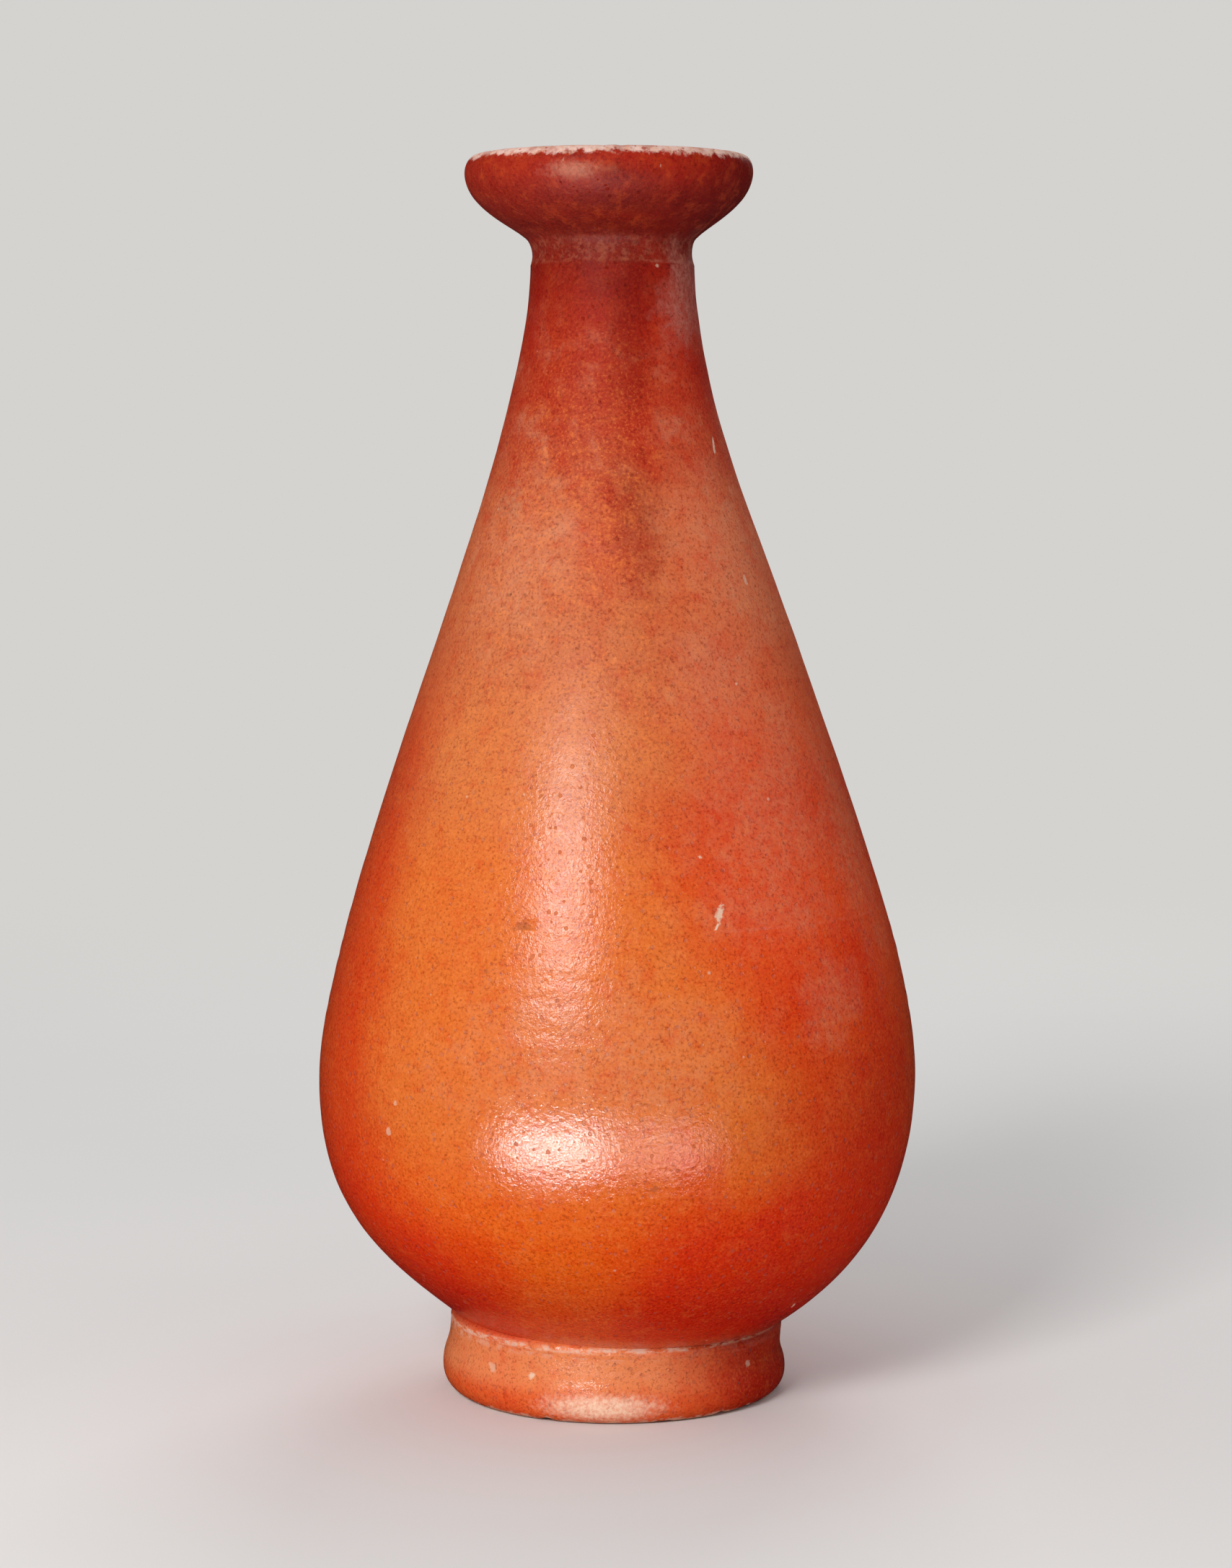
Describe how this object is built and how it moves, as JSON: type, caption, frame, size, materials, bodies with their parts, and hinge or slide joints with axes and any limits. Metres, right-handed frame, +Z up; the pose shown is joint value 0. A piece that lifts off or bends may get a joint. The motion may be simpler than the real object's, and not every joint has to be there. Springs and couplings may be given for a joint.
{
  "type": "pottery bottle",
  "caption": "Wheel-thrown red-gloss pottery bottle with a ring foot, low round belly, long tapering shoulder, narrow neck and flared cup mouth.",
  "frame": {"origin": "centre of the standing face under the foot ring", "axes": "+Z up along the axis the vessel was thrown on, -Y towards the picture's viewer, +X to the viewer's right"},
  "size_m": [0.107, 0.107, 0.22],
  "materials": {
    "red_gloss": "fired clay under a thin semi-gloss red slip, fine pitted, rubbed pale at the lip and the foot",
    "slip_bed": "matt fired clay slip, paler than the gloss"
  },
  "bodies": {
    "root": {"foot_ring": "red_gloss", "foot_luting": "slip_bed", "body_bowl": "red_gloss", "body_luting": "slip_bed", "body_shoulder": "red_gloss", "mouth_luting": "slip_bed", "cup_mouth": "red_gloss"}
  },
  "joints": []
}
